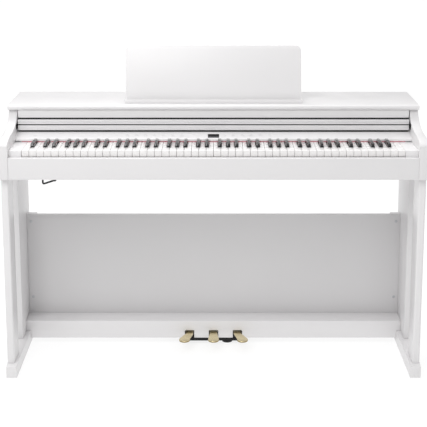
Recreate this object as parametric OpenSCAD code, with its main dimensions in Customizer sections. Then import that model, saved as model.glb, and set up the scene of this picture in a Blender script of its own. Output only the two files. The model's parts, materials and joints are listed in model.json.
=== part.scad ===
// Digital piano with 88 keys on a panelled stand, with three pedals,
// a sliding key cover and a folding music rest.
// Millimetres, +Z up, origin on the floor at the middle of the footprint, front towards -Y.
// Depths below are measured from the fronts of the arms towards the rear.

/* [Overall] */
// Width across the top board
width = 1364; // [1330:1:1660]
// Depth from the arm fronts to the rear board
depth = 468; // [440:1:565]
// Height of the keybed's underside
bed_z = 676; // [560:1:815]
// Height of the keyboard case, underside to top
case_h = 204; // [196:1:250]

/* [Boards] */
// Thickness of the top board, the keybed and the side boards
board_t = 18; // [15:0.5:22]
// Thickness of the arms
arm_t = 28; // [22:0.5:34]
// Overhang of the top board past each arm
top_overhang = 2; // [1:0.5:6]
// Depth at which the top board starts
top_front = 206; // [200:1:215]
// Height of the fascia strip
fascia_h = 26; // [20:1:30]
// Thickness of the fascia strip
fascia_t = 16; // [10:1:19]
// Thickness of the rear board
rear_t = 12; // [9:0.5:15]
// Thickness of the key slip
slip_t = 21; // [16:0.5:21]
// Gap between panels that must not touch
panel_gap = 3; // [2:0.5:4]

/* [Keys] */
// Pitch of the white keys
key_pitch = 23.5; // [22:0.1:24]
// Gap between two white keys
key_gap = 1; // [0.8:0.1:1.4]
// Depth at which the keys start
key_front = 25; // [23.5:0.5:28]
// Length of the wide front part of a white key
head_len = 48; // [45:1:52]
// Depth of the key pivot behind the key fronts
key_reach = 225; // [215:1:235]
// Thickness of a key
key_t = 20; // [18:0.5:24]
// Height of the key's underside above the keybed
key_rise = 52; // [50:1:60]
// Width of a black key at its foot
black_w = 11; // [9.5:0.1:11.4]
// Height of a black key above the white keys
black_h = 12; // [10:0.5:12.5]
// Radius of the key pivot rod
key_rod_r = 2; // [1.5:0.1:2.4]
// Radius of the hammer rod
hammer_rod_r = 2.5; // [2:0.1:3]

/* [Control panel] */
// Depth of the panel's front lip
panel_front = 158; // [154:1:162]
// Length of the sloping top, measured level
panel_run = 45; // [40:1:46]
// Rise of the sloping top
panel_rise = 15; // [12:0.5:16]
// Thickness of the panel
panel_t = 3; // [2.5:0.1:3.4]
// Width of the display window
display_w = 37; // [30:1:50]
// Length of the display window up the slope
display_l = 24; // [14:1:26]
// Width of a function button
button_w = 10; // [7:0.5:12]
// Length of a function button up the slope
button_l = 5; // [4:0.5:7]
// Height that a button stands above the panel
button_up = 1; // [0.8:0.1:1.5]
// Gap around a button
button_fit = 0.3; // [0.2:0.05:0.5]

/* [Key cover] */
// Angle of the cover's path below level
lid_angle = 6; // [5.5:0.1:6.2]
// Thickness of the cover's front bar
lid_bar_t = 16; // [12:0.5:17]
// Thickness of the cover's panel
lid_t = 10; // [8:0.5:11]
// Radius of the rollers on the cover's shaft
roller_r = 8; // [6:0.5:8.5]
// Radius of the cover's shaft
lid_rod_r = 4; // [3:0.5:5]
// Width of the rollers
roller_w = 4.2; // [3:0.1:5]
// Depth of the rail's front end
rail_front = 186; // [180:1:190]

/* [Music rest] */
// Width of the music rest
rest_w = 587; // [450:1:700]
// Height of the music rest along its slope
rest_h = 180; // [150:1:216]
// Thickness of the music rest
rest_t = 12; // [9:0.5:14]
// Lean of the music rest from upright
rest_lean = 16; // [12:0.5:20]
// Corner radius of the music rest
rest_r = 18; // [8:1:30]
// Depth of the rest's hinge line
rest_y = 266; // [256:1:280]
// Height of the rest's hinge line above the top board
rest_up = 10; // [9.5:0.5:12]
// Radius of the rest's hinge pins
rest_pin_r = 2; // [1.5:0.1:2.4]
// Distance from the hinge line to the stay's pivot
stay_u = 70; // [60:1:78]
// Radius of the stay's wire
stay_r = 1.5; // [1.2:0.1:1.8]

/* [Stand] */
// Width of a leg
leg_w = 24; // [20:0.5:30]
// Depth of a leg
leg_d = 87; // [70:1:105]
// Depth at which the legs start
leg_front = 22; // [18:1:28]
// Radius of the leg's front edges
leg_r = 6; // [3:0.5:9]
// Width of a foot
foot_w = 35; // [30:0.5:42]
// Height of a foot with its pads
foot_h = 48; // [42:1:56]
// Height of the glide pads
pad_h = 4; // [3:0.5:6]
// Depth at which the side boards start
side_front = 239; // [200:1:280]
// Thickness of the back panel
back_t = 12; // [9:0.5:15]
// Top of the back panel
back_top = 452; // [390:1:540]
// Distance from the back panel's front to the rear
back_inset = 68; // [56:1:76]
// Depth of the pedal board
pedal_board_d = 85; // [78:1:100]
// Thickness of the pedal board
pedal_board_t = 15; // [12:0.5:16]
// Underside of the pedal board
pedal_board_z = 22; // [21:0.5:30]
// Height of the pedal board
pedal_board_h = 63; // [54:1:66]

/* [Pedals] */
// Spacing of the pedals
pedal_pitch = 85; // [70:1:102]
// Width of a pedal at its tip
pedal_tip_w = 38; // [30:1:42]
// Width of a pedal's neck
pedal_neck_w = 27; // [18:1:28]
// Thickness of a pedal
pedal_t = 6; // [4:0.5:7]
// Length that a pedal stands out of the board
pedal_out = 90; // [75:1:105]
// Sideways bend of the outer pedals
pedal_bend = 16; // [0:1:18]
// Height of the pedal shaft
pedal_z = 41; // [38:0.5:46]
// Radius of the pedal shaft
pedal_rod_r = 4; // [3:0.5:5]
// Width of the notch around a pedal
notch_w = 33; // [30:1:36]
// Height of the notch around a pedal
notch_h = 28; // [24:1:30]
// Radius of the height adjuster's foot
adjuster_r = 18; // [14:1:20]
// Radius of the height adjuster's stem
stem_r = 5; // [4:0.5:6]
// Sideways place of the height adjuster
adjuster_x = 49; // [44:1:54]

/* [Fits] */
// Radial clearance of every shaft that turns or slides in a hole
run_fit = 0.05; // [0.02:0.01:0.1]
// Clearance of the rollers in their rails
roller_fit = 0.2; // [0.1:0.05:0.4]

/* [Hidden] */
$fn = 48;
eps = 0.01;

// Colours
shell = [0.93, 0.93, 0.92];
ivory = [0.97, 0.97, 0.95];
ebony = [0.08, 0.08, 0.08];
black = [0.12, 0.12, 0.13];
steel = [0.70, 0.71, 0.73];
brassy = [0.83, 0.74, 0.55];
felt = [0.40, 0.07, 0.09];
board_green = [0.10, 0.35, 0.20];

// Widths
arm_out = width / 2 - top_overhang;
arm_in = arm_out - arm_t;
stand_out = arm_out;
side_in = stand_out - board_t;
foot_out = width / 2;
foot_in = foot_out - foot_w;
key_span = 52 * key_pitch;

// Heights
top_z = bed_z + case_h;
top_under = top_z - board_t;
fascia_z = top_under - fascia_h;
bed_top = bed_z + board_t;
key_bot = bed_top + key_rise;
key_top = key_bot + key_t;
felt_t = 1.5;
felt_gap = 0.6;
lip_z = key_top + felt_gap + felt_t;
panel_z = key_top + 9;
panel_back_z = panel_z + panel_rise;
panel_back = panel_front + panel_run;
panel_angle = atan(panel_rise / panel_run);
bar_z = panel_back_z + 5;
bar_top = fascia_z - panel_gap - 1;
lid_front = panel_back + 1;
lid_back = lid_front + lid_bar_t;
fascia_front = top_front + 8;

// Key action
key_y = key_front + key_reach;
key_end = key_y + 12;
key_z = key_bot + 6;
rib_t = 1.6;
rib_gap = 0.7;
rib_shift = 0.7;
rib_step_y = panel_front + 2;
black_front = key_front + head_len + 1.5;
black_back = panel_front - 1.5;
frame_back = key_y + 20;
frame_base_t = 3;
cover_back = frame_back + 15;
rail_bar_back = key_end;
hammer_y = key_y - 45;
hammer_z = bed_top + 16;
hammer_w = 8;
wall_top = key_bot - 16;
felt_depth = 28;
stop_z = key_bot - 10;

// Cover
rail_h = 2 * (roller_r + roller_fit) + 3.6;
rail_deep = roller_w + 2.8;
rail_back = depth - rear_t - rail_h / 2 * sin(lid_angle);
rod_y = depth - rear_t - 12;
glide_y = 380;
lid_end = rod_y - 8;
lid_w = arm_in - panel_gap;
function lid_z(y) = bar_z + 17 + (y - lid_back) * tan(lid_angle);

// Rest
rest_z = top_z + rest_up;
rest_rear = 4;
knuckle_x = 200;
knuckle_w = 26;
lug_t = 6;
lug_gap = 0.8;
stay_half = 60;
stay_off = 6.5;
stay_y = rest_y + stay_u * sin(rest_lean) + stay_off * cos(rest_lean);
stay_z = rest_z + stay_u * cos(rest_lean) - stay_off * sin(rest_lean);
stay_foot_z = top_z + stay_r + 0.5;
stay_foot_y = stay_y + 34;
stay_tilt = atan((stay_foot_y - stay_y) / (stay_z - stay_foot_z));
stay_len = (stay_z - stay_foot_z) / cos(stay_tilt);

// Stand
back_front = depth - back_inset;
pedal_front = back_front - pedal_board_d;
pedal_y = back_front - 20;
pedal_top = pedal_board_z + pedal_board_h;
tip_r = pedal_tip_w / 2;
tip_y = pedal_front - pedal_out + tip_r;
ear_t = 3;
hub_w = 24;
hub_r = 9;
frame_half = pedal_pitch + 30;
frame_z = pedal_board_z - 9;
adjuster_y = pedal_front + pedal_board_t + 12;
cleat_w = 34;
cleat_t = 16;
screw_r = 2.5;
screw_head_r = 5;
screw_x = side_in - 15;
screw_zs = [back_top - 26, pedal_top + 60];

// Electronics
speaker_x = arm_in - 195;
speaker_y = cover_back + 70;
speaker_r = 60;
cone_r = 48;
jack_r = 3.2;
jack_xs = [-620, -585];
jack_box_y = 100;
inlet_x = -300;
inlet_z = bed_top + 18;
button_xs = [-285, -255, -225, -195, -165, -135, -105, 35, 65, 95, 125, 155, 185];
button_s = 24;
power_x = -590;
display_s = 22;

// Shapes drawn in depth and height, pulled along the width
module prism_x(x0, x1) {
    translate([x0, 0, 0]) rotate([90, 0, 90]) linear_extrude(x1 - x0) children();
}
// Rod along the width
module rod_x(x0, x1, y, z, r) {
    translate([x0, y, z]) rotate([0, 90, 0]) cylinder(r = r, h = x1 - x0);
}
// Box from corner to corner
module box(a, b) {
    translate(a) cube([b[0] - a[0], b[1] - a[1], b[2] - a[2]]);
}
// A piece and its mirror image
module both() {
    children();
    mirror([1, 0, 0]) children();
}
// Moves depths from the arm fronts to the part's own origin
module placed() {
    translate([0, -depth / 2, 0]) children();
}
// Frame on the sloping top of the control panel, local z out of the panel
module on_slope(x, s) {
    translate([x, panel_front, panel_z]) rotate([panel_angle, 0, 0]) translate([0, s, 0]) children();
}
// Points of a curve from a to c pulled towards b
function curve(a, b, c, n) = [for (i = [0:n])
    let (t = i / n) (1 - t) * (1 - t) * a + 2 * t * (1 - t) * b + t * t * c];

// Key layout
WHITE = [0, -1, 1, -1, 2, 3, -1, 4, -1, 5, -1, 6];
oct_w = 7 * key_pitch;
function is_black(k) = WHITE[k] < 0;
function black_on_left(k) = is_black((k + 11) % 12);
function black_on_right(k) = is_black((k + 1) % 12);
function slot_lo(k) = k <= 4 ? k * 3 * key_pitch / 5 : 3 * key_pitch + (k - 5) * 4 * key_pitch / 7;
function slot_hi(k) = k <= 4 ? slot_lo(k) + 3 * key_pitch / 5 : slot_lo(k) + 4 * key_pitch / 7;
function octave_x(o) = -key_span / 2 + (7 * o - 5) * key_pitch;
function octaves(k) = [for (o = [0:8]) if ((o > 0 || k >= 9) && (o < 8 || k == 0)) o];
rib_xs = [for (o = [1:8]) octave_x(o) + rib_shift];

// One white key of pitch class k in octave o
module white_key(k, o) {
    lo = WHITE[k] * key_pitch + key_gap / 2;
    hi = (WHITE[k] + 1) * key_pitch - key_gap / 2;
    tail_lo = black_on_left(k) && !(o == 0 && k == 9) ? slot_lo(k) : lo;
    tail_hi = black_on_right(k) && o < 8 ? slot_hi(k) : hi;
    translate([octave_x(o), 0, 0]) difference() {
        union() {
            box([lo, key_front, key_bot], [hi, key_front + head_len, key_top]);
            box([tail_lo, key_front + head_len - 1, key_bot], [tail_hi, key_end, key_top]);
        }
        rod_x(lo - 5, hi + 5, key_y, key_z, key_rod_r + run_fit);
        if (k == 0)
            box([-1, rib_step_y, key_bot - 1],
                [rib_shift + rib_t / 2 + rib_gap, key_end + 1, key_top + 1]);
    }
}
// One black key of pitch class k in octave o
module black_key(k, o) {
    slope = 5;
    side = 0.75;
    w = black_w / 2;
    translate([octave_x(o) + (slot_lo(k) + slot_hi(k)) / 2, 0, 0]) difference() {
        union() {
            intersection() {
                prism_x(-w - 1, w + 1) polygon([[black_front, key_bot], [black_front, key_top + 1],
                    [black_front + slope, key_top + black_h], [black_back, key_top + black_h],
                    [black_back, key_bot]]);
                translate([0, black_back + 1, 0]) rotate([90, 0, 0]) linear_extrude(black_back - black_front + 2)
                    polygon([[-w, key_bot], [w, key_bot], [w, key_top + 1],
                    [w - side, key_top + black_h], [-w + side, key_top + black_h], [-w, key_top + 1]]);
            }
            box([-w, black_back - 10, key_bot], [w, key_end, key_top]);
        }
        rod_x(-w - 1, w + 1, key_y, key_z, key_rod_r + run_fit);
    }
}
// All keys of one pitch class
module keys(k) {
    placed() for (o = octaves(k))
        if (is_black(k)) color(ebony) black_key(k, o);
        else color(ivory) white_key(k, o);
}
module key_c() { keys(0); }
module key_c_sharp() { keys(1); }
module key_d() { keys(2); }
module key_d_sharp() { keys(3); }
module key_e() { keys(4); }
module key_f() { keys(5); }
module key_f_sharp() { keys(6); }
module key_g() { keys(7); }
module key_g_sharp() { keys(8); }
module key_a() { keys(9); }
module key_a_sharp() { keys(10); }
module key_b() { keys(11); }

// Chassis under the keys: base, front rail and a wall at each octave
module key_frame() {
    half = key_span / 2;
    color(black) placed() difference() {
        union() {
            box([-half, key_front + 5, bed_top], [half, frame_back, bed_top + frame_base_t]);
            box([-half, key_front + 5, bed_top], [half, key_front + 41, stop_z - felt_t]);
            for (x = rib_xs) box([x - 1, key_front + 40, bed_top], [x + 1, hammer_y + 12, wall_top]);
        }
        rod_x(-half - 1, half + 1, hammer_y, hammer_z, hammer_rod_r);
    }
}
// Bar and ribs that hold the key pivot rod, with the rod and the hammer rod
module key_pivot_rail() {
    half = key_span / 2;
    bar_front = key_y - 14;
    color(steel) placed() {
        difference() {
            union() {
                box([-half, bar_front, bed_top + frame_base_t], [half, rail_bar_back, key_bot - 4]);
                for (x = rib_xs)
                    box([x - rib_t / 2, bar_front, key_bot - 5],
                        [x + rib_t / 2, rail_bar_back, key_bot + 12]);
            }
            rod_x(-half - 1, half + 1, key_y, key_z, key_rod_r);
        }
        rod_x(-half - 12, half + 12, key_y, key_z, key_rod_r);
        rod_x(-half, half, hammer_y, hammer_z, hammer_rod_r);
    }
}
// Felt under the key fronts, and the red strip below the panel's lip
module key_felts() {
    half = key_span / 2;
    color(felt) placed() {
        box([-half, key_front + 7, stop_z - felt_t], [half, key_front + 7 + felt_depth, stop_z]);
        box([-half - 20, panel_front, key_top + felt_gap], [half + 20, panel_front + 12, lip_z]);
    }
}
// Circuit board with a rubber switch under each key
module contact_strip() {
    half = key_span / 2 - 6;
    board_y = key_front + 75;
    color(board_green) placed() {
        box([-half, board_y, wall_top], [half, board_y + 40, wall_top + 1.6]);
        for (k = [0:11], o = octaves(k))
            translate([octave_x(o) + (slot_lo(k) + slot_hi(k)) / 2, board_y + 20, wall_top + 1.6])
                cylinder(r1 = 4.5, r2 = 3, h = 5);
    }
}
// Weighted lever under each key, on the hammer rod
module hammers() {
    color(black) placed() for (k = [0:11], o = octaves(k)) {
        x = octave_x(o) + (slot_lo(k) + slot_hi(k)) / 2 - hammer_w / 2;
        difference() {
            prism_x(x, x + hammer_w) union() {
                translate([key_front + 55, hammer_z - 8]) square([50, 18]);
                translate([key_front + 104, hammer_z - 3]) square([hammer_y - key_front - 104, 6]);
                translate([hammer_y, hammer_z]) circle(r = 6);
            }
            rod_x(x - 1, x + hammer_w + 1, hammer_y, hammer_z, hammer_rod_r + run_fit);
        }
    }
}

// Keybed with the two speaker openings
module keybed() {
    color(shell) placed() difference() {
        box([-arm_in, 2 + slip_t, bed_z], [arm_in, depth - rear_t, bed_top]);
        for (s = [-1, 1]) translate([s * speaker_x, speaker_y, bed_z - 1])
            cylinder(r = cone_r + 2, h = board_t + 2);
    }
}
// Key slip, in front of the keys
module keyslip() {
    color(shell) placed() box([-arm_in, 2, bed_z], [arm_in, 2 + slip_t, key_bot]);
}
// Blocks that fill the ends of the keyboard
module key_blocks() {
    color(shell) placed() both() box([key_span / 2 + 0.5, key_front - 2, bed_top],
        [arm_in, panel_front + 4, key_top]);
}
// Arm with its curved front, and the recess for the cover's rail
module arm() {
    color(shell) placed() difference() {
        prism_x(arm_in, arm_out) polygon(concat([[depth, bed_z], [depth, top_under]],
            curve([top_front + 19, top_under], [205, key_top + 54], [110, key_top + 41], 14),
            curve([110, key_top + 41], [14, key_top + 40], [0, key_top + 19], 18), [[0, bed_z]]));
        rail_blank(arm_in - 1, rail_deep + 1, 0);
    }
}
module arm_left() { mirror([1, 0, 0]) arm(); }
module arm_right() { arm(); }
// Outline of the rail, from x inwards, with its walls taken off by inset
module rail_blank(x, deep, inset) {
    run = (rail_back - rail_front) / cos(lid_angle);
    translate([x, rail_front, lid_z(rail_front)]) rotate([lid_angle, 0, 0])
        translate([0, 0, -rail_h / 2 + inset]) cube([deep, run, rail_h - 2 * inset]);
}
// Channels that guide the cover
module lid_rails() {
    color(black) placed() both() difference() {
        rail_blank(arm_in, rail_deep, 0);
        translate([0, -1, 0]) rail_blank(arm_in - 1, rail_deep - 1, 1.8);
        translate([0, 1, 0]) rail_blank(arm_in - 1, rail_deep - 1, 1.8);
    }
}
// Sliding cover: panel, glides, and lugs for the shaft
module lid_panel() {
    lug_x = lid_w - 45;
    color(shell) placed() {
        difference() {
            union() {
                prism_x(-lid_w, lid_w) polygon([[lid_back, lid_z(lid_back) - lid_t / 2],
                    [lid_end, lid_z(lid_end) - lid_t / 2], [lid_end, lid_z(lid_end) + lid_t / 2],
                    [lid_back, lid_z(lid_back) + lid_t / 2]]);
                both() {
                    prism_x(lug_x - 3, lug_x + 3) union() {
                        translate([rod_y, lid_z(rod_y)]) circle(r = lid_rod_r + 3.5);
                        translate([lid_end - 4, lid_z(lid_end) - lid_t / 2 + 1])
                            square([rod_y - lid_end + 4, lid_t - 2]);
                    }
                    rod_x(lid_w - 2, arm_in + roller_w + 0.4, glide_y, lid_z(glide_y), roller_r);
                }
            }
            rod_x(-lid_w - 1, lid_w + 1, rod_y, lid_z(rod_y), lid_rod_r + run_fit);
        }
    }
}
// Front bar of the cover, with its split line and shadow groove
module lid_front_bar() {
    split_z = bar_z + 0.46 * (bar_top - bar_z);
    groove_z = bar_z + 0.74 * (bar_top - bar_z);
    color(shell) placed() prism_x(-lid_w, lid_w) difference() {
        translate([lid_front, bar_z + 1]) square([lid_bar_t, bar_top - bar_z - 2.5]);
        translate([lid_front - 1, split_z]) square([7, 4]);
        translate([lid_front - 1, groove_z]) square([2.5, 1]);
    }
}
// Shaft with a roller at each end that keeps the cover square
module lid_shaft() {
    end = arm_in + roller_w + 0.4;
    color(steel) placed() {
        rod_x(-end, end, rod_y, lid_z(rod_y), lid_rod_r);
        both() difference() {
            rod_x(arm_in + 0.4, end, rod_y, lid_z(rod_y), roller_r);
            rod_x(arm_in, end + 1, rod_y, lid_z(rod_y), lid_rod_r);
        }
    }
}

// Top board with a round front edge
module top_board() {
    color(shell) placed() prism_x(-width / 2, width / 2) union() {
        translate([top_front + board_t / 2, top_under]) square([depth - top_front - board_t / 2, board_t]);
        translate([top_front + board_t / 2, top_under + board_t / 2]) circle(r = board_t / 2);
    }
}
// Strip below the front of the top board
module fascia() {
    color(shell) placed() box([-lid_w, fascia_front, fascia_z],
        [lid_w, fascia_front + fascia_t, top_under]);
}
// Rear board with openings for the sockets
module rear_board() {
    color(shell) placed() difference() {
        box([-arm_in, depth - rear_t, bed_z], [arm_in, depth, top_under]);
        translate([inlet_x, depth - rear_t - 1, inlet_z]) rotate([-90, 0, 0])
            cylinder(r = 6.5, h = rear_t + 2);
        for (i = [1, 2]) box([inlet_x + 40 * i - 9, depth - rear_t - 1, inlet_z - 9],
            [inlet_x + 40 * i + 9, depth + 1, inlet_z + 7]);
    }
}

// Control panel: front lip, sloping top, shelf and rear wall over the key action
module control_panel() {
    t = panel_t;
    color(shell) placed() difference() {
        prism_x(-arm_in, arm_in) polygon([[panel_front, lip_z], [panel_front, panel_z],
            [panel_back, panel_back_z], [cover_back, panel_back_z], [cover_back, bed_top],
            [cover_back - t, bed_top], [cover_back - t, panel_back_z - t],
            [panel_back, panel_back_z - t], [panel_front + t, panel_z - t], [panel_front + t, lip_z]]);
        on_slope(-display_w / 2, display_s - display_l / 2) translate([0, 0, -2])
            cube([display_w, display_l, 5]);
        for (x = button_xs) button_blank(x, button_fit, 10, 6);
        button_blank(power_x, button_fit, 10, 6);
    }
}
// Block in the shape of a button, grown by g, from down below to up above the panel
module button_blank(x, g, down, up) {
    on_slope(x, button_s) translate([-button_w / 2 - g, -button_l / 2 - g, -down])
        cube([button_w + 2 * g, button_l + 2 * g, down + up]);
}
button_down = 4.4;
module function_buttons() {
    color(ivory) placed() for (x = button_xs) button_blank(x, 0, button_down, button_up);
}
module power_button() {
    color(ivory) placed() button_blank(power_x, 0, button_down, button_up);
}
// Window flush in the control panel
module display_window() {
    color(black) placed() on_slope(-display_w / 2, display_s - display_l / 2)
        translate([0, 0, -2]) cube([display_w, display_l, 2]);
}
// Board below the buttons, with a switch for each
module control_circuit() {
    color(board_green) placed() {
        on_slope(-300, 8) translate([0, 0, -7.6]) cube([500, 22, 1.4]);
        for (x = button_xs) on_slope(x, button_s) translate([-2, -2, -6.2]) cube([4, 4, 0.6]);
        on_slope(power_x - 12, 8) translate([0, 0, -7.6]) cube([24, 22, 1.4]);
    }
}
// Main board on its posts, with the sockets at the rear
module main_circuit() {
    bx = inlet_x - 30;
    by = depth - rear_t - 82;
    bz = bed_top + 8;
    color(board_green) placed() {
        difference() {
            union() {
                box([bx, by, bz], [bx + 220, by + 78, bz + 1.6]);
                box([inlet_x - 6, depth - rear_t - 14, bz + 1], [inlet_x + 6, depth - rear_t - 1, inlet_z + 6]);
                translate([inlet_x, depth - rear_t - 2, inlet_z]) rotate([-90, 0, 0])
                    cylinder(r = 5.5, h = rear_t);
            }
            translate([inlet_x, depth - 11, inlet_z]) rotate([-90, 0, 0]) cylinder(r = 2.75, h = 12);
        }
        for (i = [1, 2]) difference() {
            box([inlet_x + 40 * i - 8, depth - rear_t - 14, bz + 1.6],
                [inlet_x + 40 * i + 8, depth - 2, inlet_z + 6]);
            box([inlet_x + 40 * i - 6, depth - 12, inlet_z - 3], [inlet_x + 40 * i + 6, depth, inlet_z + 3]);
        }
        for (x = [bx + 10, bx + 210], y = [by + 8, by + 60])
            translate([x, y, bed_top]) cylinder(r = 4, h = 8);
        for (i = [0:3]) box([bx + 30 + 42 * i, by + 20, bz + 1.6], [bx + 52 + 42 * i, by + 42, bz + 5]);
    }
}
// Speakers that face down through the keybed
module speaker_drivers() {
    color(black) placed() for (s = [-1, 1]) translate([s * speaker_x, speaker_y, bed_top]) {
        difference() {
            cylinder(r = speaker_r, h = 4);
            translate([0, 0, -1]) cylinder(r = cone_r, h = 6);
        }
        translate([0, 0, 4]) difference() {
            cylinder(r1 = cone_r + 4, r2 = 24, h = 28);
            translate([0, 0, -eps]) cylinder(r1 = cone_r, r2 = 20, h = 26);
        }
        translate([0, 0, 32]) cylinder(r = 34, h = 14);
    }
}
// Pierced discs below the speakers
module speaker_grilles() {
    color(black) placed() for (s = [-1, 1]) translate([s * speaker_x, speaker_y, bed_z - 3])
        difference() {
            cylinder(r = cone_r + 10, h = 3);
            for (ring = [1:3], i = [0:6 * ring - 1]) rotate([0, 0, 60 * i / ring])
                translate([14 * ring, 0, -1]) cylinder(r = 3.5, h = 5);
        }
}
// Box with two jacks below the keybed
module headphone_box() {
    color(black) placed() difference() {
        box([jack_xs[0] - 20, jack_box_y, bed_z - 22], [jack_xs[1] + 20, jack_box_y + 60, bed_z]);
        for (x = jack_xs) translate([x, jack_box_y - 1, bed_z - 11]) rotate([-90, 0, 0])
            cylinder(r = jack_r, h = 31);
    }
}
// Bent rod that headphones hang from
module headphone_hook() {
    r = 3;
    drop = 32;
    rise = 14;
    run = 43;
    angle = atan(rise / run);
    reach = sqrt(run * run + rise * rise);
    color(black) placed() translate([-553, 76, bed_z - drop]) {
        translate([0, 0, drop - 3]) cylinder(r = 9, h = 3);
        translate([0, 0, -r]) cylinder(r = r, h = drop + r - 2);
        rotate([0, 90 - angle, 0]) cylinder(r = r, h = reach);
        translate([run, 0, rise - r]) cylinder(r = r + 1, h = 2 * r + 2);
    }
}

// Frame on the leaning music rest, local z up the rest and local y to its rear
module on_rest() {
    translate([0, rest_y, rest_z]) rotate([-rest_lean, 0, 0]) children();
}
// Music rest panel, notched for the hinge lugs, with lugs for the stay
module music_rest() {
    low = -4;
    r = rest_r;
    half = rest_w / 2;
    color(shell) placed() difference() {
        on_rest() {
            difference() {
                translate([0, rest_rear, 0]) rotate([90, 0, 0]) linear_extrude(rest_t) union() {
                    translate([-half, low]) square([2 * half, rest_h - low - r]);
                    translate([-half + r, low]) square([2 * (half - r), rest_h - low]);
                    for (s = [-1, 1]) translate([s * (half - r), rest_h - r]) circle(r = r);
                }
                for (s = [-1, 1], e = [-1, 1])
                    translate([s * knuckle_x + e * (knuckle_w + lug_t) / 2, 20 - 5 - lug_gap, 0])
                        cube([lug_t + 2 * lug_gap, 40, 26], center = true);
            }
            for (s = [-1, 1]) translate([s * (stay_half - 8) - 3, rest_rear - 1, stay_u - 5])
                cube([6, 4.5 + stay_r, 10]);
        }
        rod_x(-half, half, rest_y, rest_z, rest_pin_r + run_fit);
        rod_x(-stay_half - 4, stay_half + 4, stay_y, stay_z, stay_r + run_fit);
    }
}
// Ledge that holds the foot of the sheets
module rest_ledge() {
    half = rest_w / 2 + 2;
    front = rest_y - 28;
    color(shell) placed() prism_x(-half, half)
        polygon([[front, top_z], [front + 18, top_z], [front + 18, top_z + 3], [front + 4, top_z + 3],
        [front + 4, top_z + 12], [front, top_z + 12]]);
}
// Wire stay that props the rest, pivoted on the rest's back
module rest_stay() {
    color(steel) placed() translate([0, stay_y, stay_z]) rotate([stay_tilt, 0, 0]) {
        for (s = [-1, 1]) {
            translate([s * stay_half, 0, -stay_len]) cylinder(r = stay_r, h = stay_len);
            translate([s * stay_half, 0, 0]) sphere(r = stay_r);
            translate([s * stay_half, 0, -stay_len]) sphere(r = stay_r);
            translate([s > 0 ? stay_half - 14 : -stay_half, 0, 0]) rotate([0, 90, 0])
                cylinder(r = stay_r, h = 14);
        }
        translate([-stay_half, 0, -stay_len]) rotate([0, 90, 0]) cylinder(r = stay_r, h = 2 * stay_half);
    }
}
// Lugs and pins of the two rest hinges
module rest_hinges() {
    color(steel) placed() for (s = [-1, 1]) {
        for (e = [-1, 1]) {
            x = s * knuckle_x + e * (knuckle_w + lug_t) / 2 - lug_t / 2;
            difference() {
                prism_x(x, x + lug_t) union() {
                    translate([rest_y - 5, top_z]) square([10, rest_up]);
                    translate([rest_y, rest_z]) circle(r = 5);
                }
                rod_x(x - 1, x + lug_t + 1, rest_y, rest_z, rest_pin_r);
            }
        }
        rod_x(s * knuckle_x - knuckle_w / 2 - lug_t, s * knuckle_x + knuckle_w / 2 + lug_t,
            rest_y, rest_z, rest_pin_r);
    }
}

// Leg with round front edges
module leg() {
    color(shell) placed() translate([stand_out - leg_w, leg_front, foot_h])
        linear_extrude(bed_z - foot_h) union() {
            translate([leg_r, 0]) square([leg_w - 2 * leg_r, leg_d]);
            translate([0, leg_r]) square([leg_w, leg_d - leg_r]);
            for (x = [leg_r, leg_w - leg_r]) translate([x, leg_r]) circle(r = leg_r);
        }
}
module leg_left() { mirror([1, 0, 0]) leg(); }
module leg_right() { leg(); }
// Foot with a sloping toe
module foot() {
    toe = leg_front - 18;
    color(shell) placed() prism_x(foot_in, foot_out) polygon([[toe, pad_h], [depth - 4, pad_h],
        [depth - 4, foot_h], [leg_front, foot_h], [toe, foot_h - 6]]);
}
module foot_left() { mirror([1, 0, 0]) foot(); }
module foot_right() { foot(); }
// Pads below the feet
module glide_pads() {
    color(black) placed() both() for (y = [leg_front + 12, depth - 44])
        translate([foot_out - foot_w / 2, y, 0]) cylinder(r = 12, h = pad_h);
}
// Board behind each leg
module side_board() {
    color(shell) placed() box([side_in, side_front, foot_h], [stand_out, depth - 8, bed_z]);
}
module side_board_left() { mirror([1, 0, 0]) side_board(); }
module side_board_right() { side_board(); }
// Screw positions: shank of radius r from depth y0 to y1
module screw_shanks(r, y0, y1) {
    for (s = [-1, 1], z = screw_zs) translate([s * screw_x, y0, z]) rotate([-90, 0, 0])
        cylinder(r = r, h = y1 - y0);
}
module back_panel() {
    color(shell) placed() difference() {
        box([-side_in, back_front, foot_h + 1], [side_in, back_front + back_t, back_top]);
        screw_shanks(screw_r, back_front - 1, back_front + back_t + 1);
    }
}
// Battens that hold the back panel to the side boards
module panel_cleats() {
    y = back_front + back_t;
    color(shell) placed() difference() {
        both() box([side_in - cleat_w, y, foot_h + 1], [side_in, y + cleat_t, back_top]);
        screw_shanks(screw_r, y - 1, y + cleat_t + 1);
    }
}
// Screws through the back panel into the cleats
module assembly_screws() {
    color(steel) placed() {
        screw_shanks(screw_r, back_front, back_front + back_t + cleat_t - 2);
        screw_shanks(screw_head_r, back_front - 1.5, back_front);
    }
}
// Pedal board: a notched front and a top
module pedal_board() {
    z = pedal_board_z;
    rear = pedal_front + pedal_board_t;
    color(shell) placed() {
        translate([0, rear, 0]) rotate([90, 0, 0]) linear_extrude(pedal_board_t) difference() {
            union() {
                translate([-foot_in, z]) square([2 * foot_in, pedal_board_h]);
                translate([-side_in, foot_h]) square([2 * side_in, pedal_top - foot_h]);
            }
            for (i = [-1:1]) translate([i * pedal_pitch - notch_w / 2, z - 1])
                square([notch_w, notch_h + 1]);
        }
        box([-side_in, rear, pedal_top - pedal_board_t], [side_in, back_front, pedal_top]);
    }
}
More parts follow.
